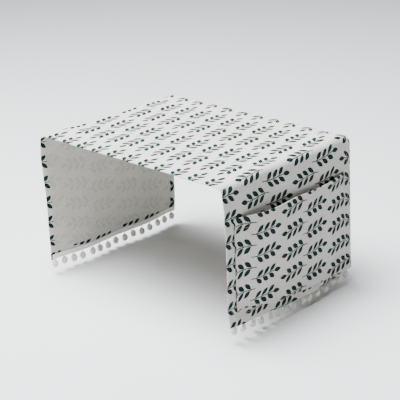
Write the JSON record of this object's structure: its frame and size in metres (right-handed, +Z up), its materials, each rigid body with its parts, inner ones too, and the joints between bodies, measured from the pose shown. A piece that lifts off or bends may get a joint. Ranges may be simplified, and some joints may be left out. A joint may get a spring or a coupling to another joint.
{
  "type": "microwave cover",
  "caption": "Printed canvas cover that drapes over a microwave's top and both sides, with wide patch pockets on the drops and pompom-trimmed hems",
  "frame": {"origin": "middle of the top panel's flat underside, where the top of the oven carries the cover", "axes": "+X along the strip from the left drop to the right drop, -Y to the open front, +Z up"},
  "size_m": [0.4915, 0.3475, 0.2831],
  "materials": {
    "printed_canvas": "off-white cotton-linen canvas with a dark green leaf-sprig print",
    "pompom_yarn": "off-white cotton yarn"
  },
  "bodies": {
    "root": {"cover_cloth": "printed_canvas", "pocket_right": "printed_canvas", "pocket_left": "printed_canvas", "pompom_trim_right": "pompom_yarn", "pompom_trim_left": "pompom_yarn"}
  },
  "joints": []
}
